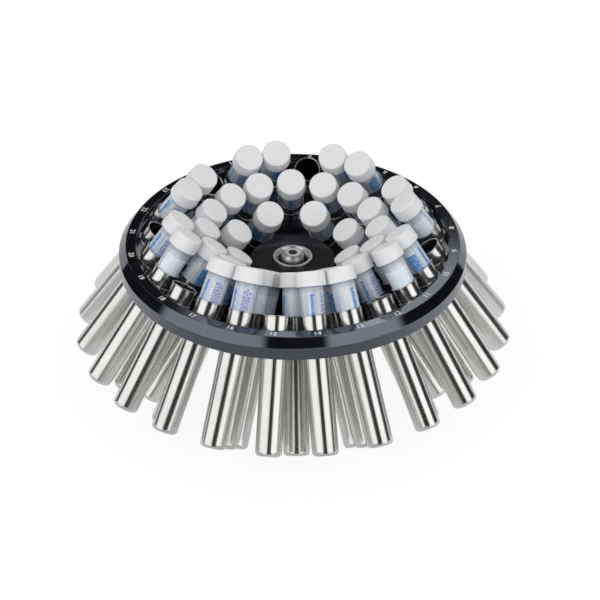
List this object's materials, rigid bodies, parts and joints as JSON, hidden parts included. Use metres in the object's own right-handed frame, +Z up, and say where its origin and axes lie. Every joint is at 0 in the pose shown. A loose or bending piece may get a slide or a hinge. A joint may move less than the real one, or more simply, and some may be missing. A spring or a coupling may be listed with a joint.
{
  "type": "fixed angle rotor",
  "caption": "Fixed angle rotor: a dished, bevelled body with rings of leaning steel sleeves, capped conical tubes and a captive centre nut.",
  "frame": {"origin": "on the drive axis, in the plane the rotor stands on: the lowest points of the inner sleeves' rounded ends", "axes": "+Z up the drive axis, out of the dish; +X through place 1 of the outer ring"},
  "size_m": [0.3174, 0.3174, 0.1412],
  "materials": {
    "body": "black anodised, satin",
    "sleeve": "drawn and polished",
    "bush": "turned",
    "nut": "polished",
    "ring": "spring steel",
    "cushion": "moulded",
    "tube": "clear moulded, printed",
    "cap": "moulded, white"
  },
  "bodies": {
    "rotor": {"rotor_body": "body", "drive_bush": "bush", "hub_bush": "bush", "retaining_ring": "ring", "sleeve_outer_01": "sleeve", "sleeve_outer_02": "sleeve", "sleeve_outer_03": "sleeve", "sleeve_outer_04": "sleeve", "sleeve_outer_05": "sleeve", "sleeve_outer_06": "sleeve", "sleeve_outer_07": "sleeve", "sleeve_outer_08": "sleeve", "sleeve_outer_09": "sleeve", "sleeve_outer_10": "sleeve", "sleeve_outer_11": "sleeve", "sleeve_outer_12": "sleeve", "sleeve_outer_13": "sleeve", "sleeve_outer_14": "sleeve", "sleeve_outer_15": "sleeve", "sleeve_outer_16": "sleeve", "sleeve_outer_17": "sleeve", "sleeve_outer_18": "sleeve", "sleeve_outer_19": "sleeve", "sleeve_outer_20": "sleeve", "sleeve_outer_21": "sleeve", "sleeve_outer_22": "sleeve", "sleeve_outer_23": "sleeve", "sleeve_outer_24": "sleeve", "sleeve_middle_01": "sleeve", "sleeve_middle_02": "sleeve", "sleeve_middle_03": "sleeve", "sleeve_middle_04": "sleeve", "sleeve_middle_05": "sleeve", "sleeve_middle_06": "sleeve", "sleeve_middle_07": "sleeve", "sleeve_middle_08": "sleeve", "sleeve_middle_09": "sleeve", "sleeve_middle_10": "sleeve", "sleeve_middle_11": "sleeve", "sleeve_middle_12": "sleeve", "sleeve_middle_13": "sleeve", "sleeve_middle_14": "sleeve", "sleeve_middle_15": "sleeve", "sleeve_middle_16": "sleeve", "sleeve_inner_01": "sleeve", "sleeve_inner_02": "sleeve", "sleeve_inner_03": "sleeve", "sleeve_inner_04": "sleeve", "sleeve_inner_05": "sleeve", "sleeve_inner_06": "sleeve", "sleeve_inner_07": "sleeve", "sleeve_inner_08": "sleeve", "sleeve_cushions": "cushion", "tubes_outer": "tube", "tubes_middle": "tube", "tubes_inner": "tube", "caps_outer": "cap", "caps_middle": "cap", "caps_inner": "cap"},
    "nut": {"rotor_nut": "nut"}
  },
  "joints": [
    {"name": "rotor_nut_turn", "type": "hinge", "parent": "rotor", "child": "nut", "pos_m": [0, 0, 0.08536], "axis": [0, 0, 1], "continuous": true}
  ]
}
